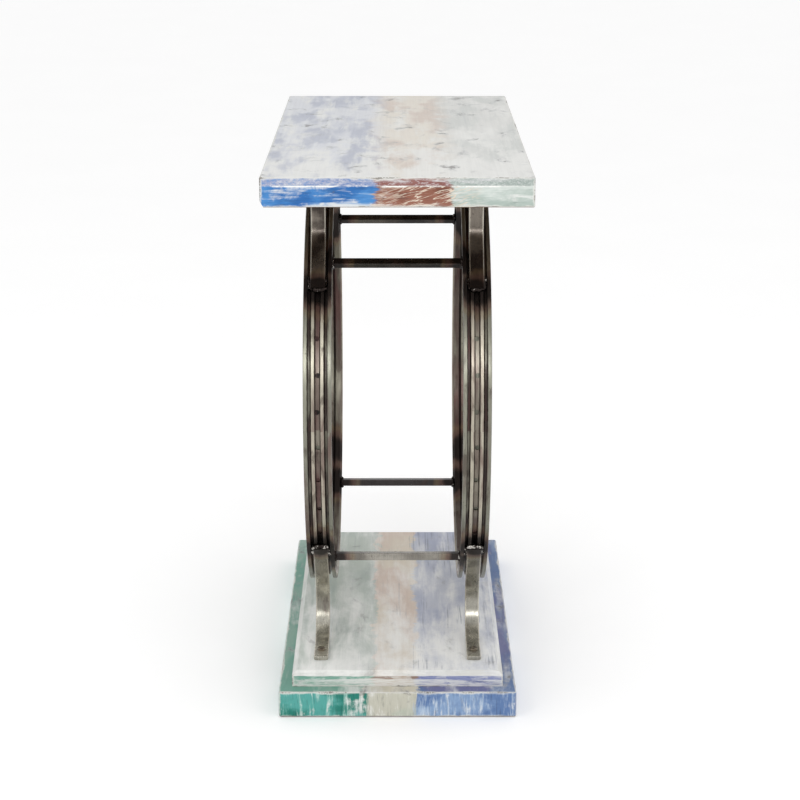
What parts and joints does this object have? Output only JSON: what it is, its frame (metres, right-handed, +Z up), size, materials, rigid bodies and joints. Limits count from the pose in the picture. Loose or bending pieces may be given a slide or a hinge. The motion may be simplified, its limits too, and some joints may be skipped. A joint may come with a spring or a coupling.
{
  "type": "console table",
  "caption": "Narrow console table: a thick plank top stands on two upright steel wheel rims, bolted by curved flat-bar arms and feet to a stepped plank base.",
  "frame": {"origin": "middle of the base's underside, on the floor", "axes": "+Z up; Y runs along the table's length, with the viewed end at -Y; +X to the right seen from that end; the rims' axes run along X"},
  "size_m": [0.345, 0.772, 0.762],
  "materials": {
    "paint_blue": "matt",
    "paint_rust": "matt",
    "paint_mint": "matt",
    "paint_teal": "matt",
    "paint_cream": "matt",
    "paint_indigo": "matt",
    "paint_sage": "matt",
    "paint_lilac": "matt",
    "rim_steel": "satin",
    "bar_steel": "satin",
    "screw_steel": "satin"
  },
  "bodies": {
    "root": {"top_board_left": "paint_blue", "top_board_middle": "paint_rust", "top_board_right": "paint_mint", "base_board_left": "paint_teal", "base_board_middle": "paint_cream", "base_board_right": "paint_indigo", "plinth_board_left": "paint_sage", "plinth_board_middle": "paint_cream", "plinth_board_right": "paint_lilac", "rim_left": "rim_steel", "rim_right": "rim_steel", "foot_front_left": "bar_steel", "foot_front_right": "bar_steel", "foot_back_left": "bar_steel", "foot_back_right": "bar_steel", "arm_front_left": "bar_steel", "arm_front_right": "bar_steel", "arm_back_left": "bar_steel", "arm_back_right": "bar_steel", "crossbar_front_top": "bar_steel", "crossbar_back_top": "bar_steel", "crossbar_back_bottom": "bar_steel", "crossbar_front_bottom": "bar_steel", "foot_screws": "screw_steel", "arm_screws": "screw_steel", "plinth_screws": "screw_steel"}
  },
  "joints": []
}
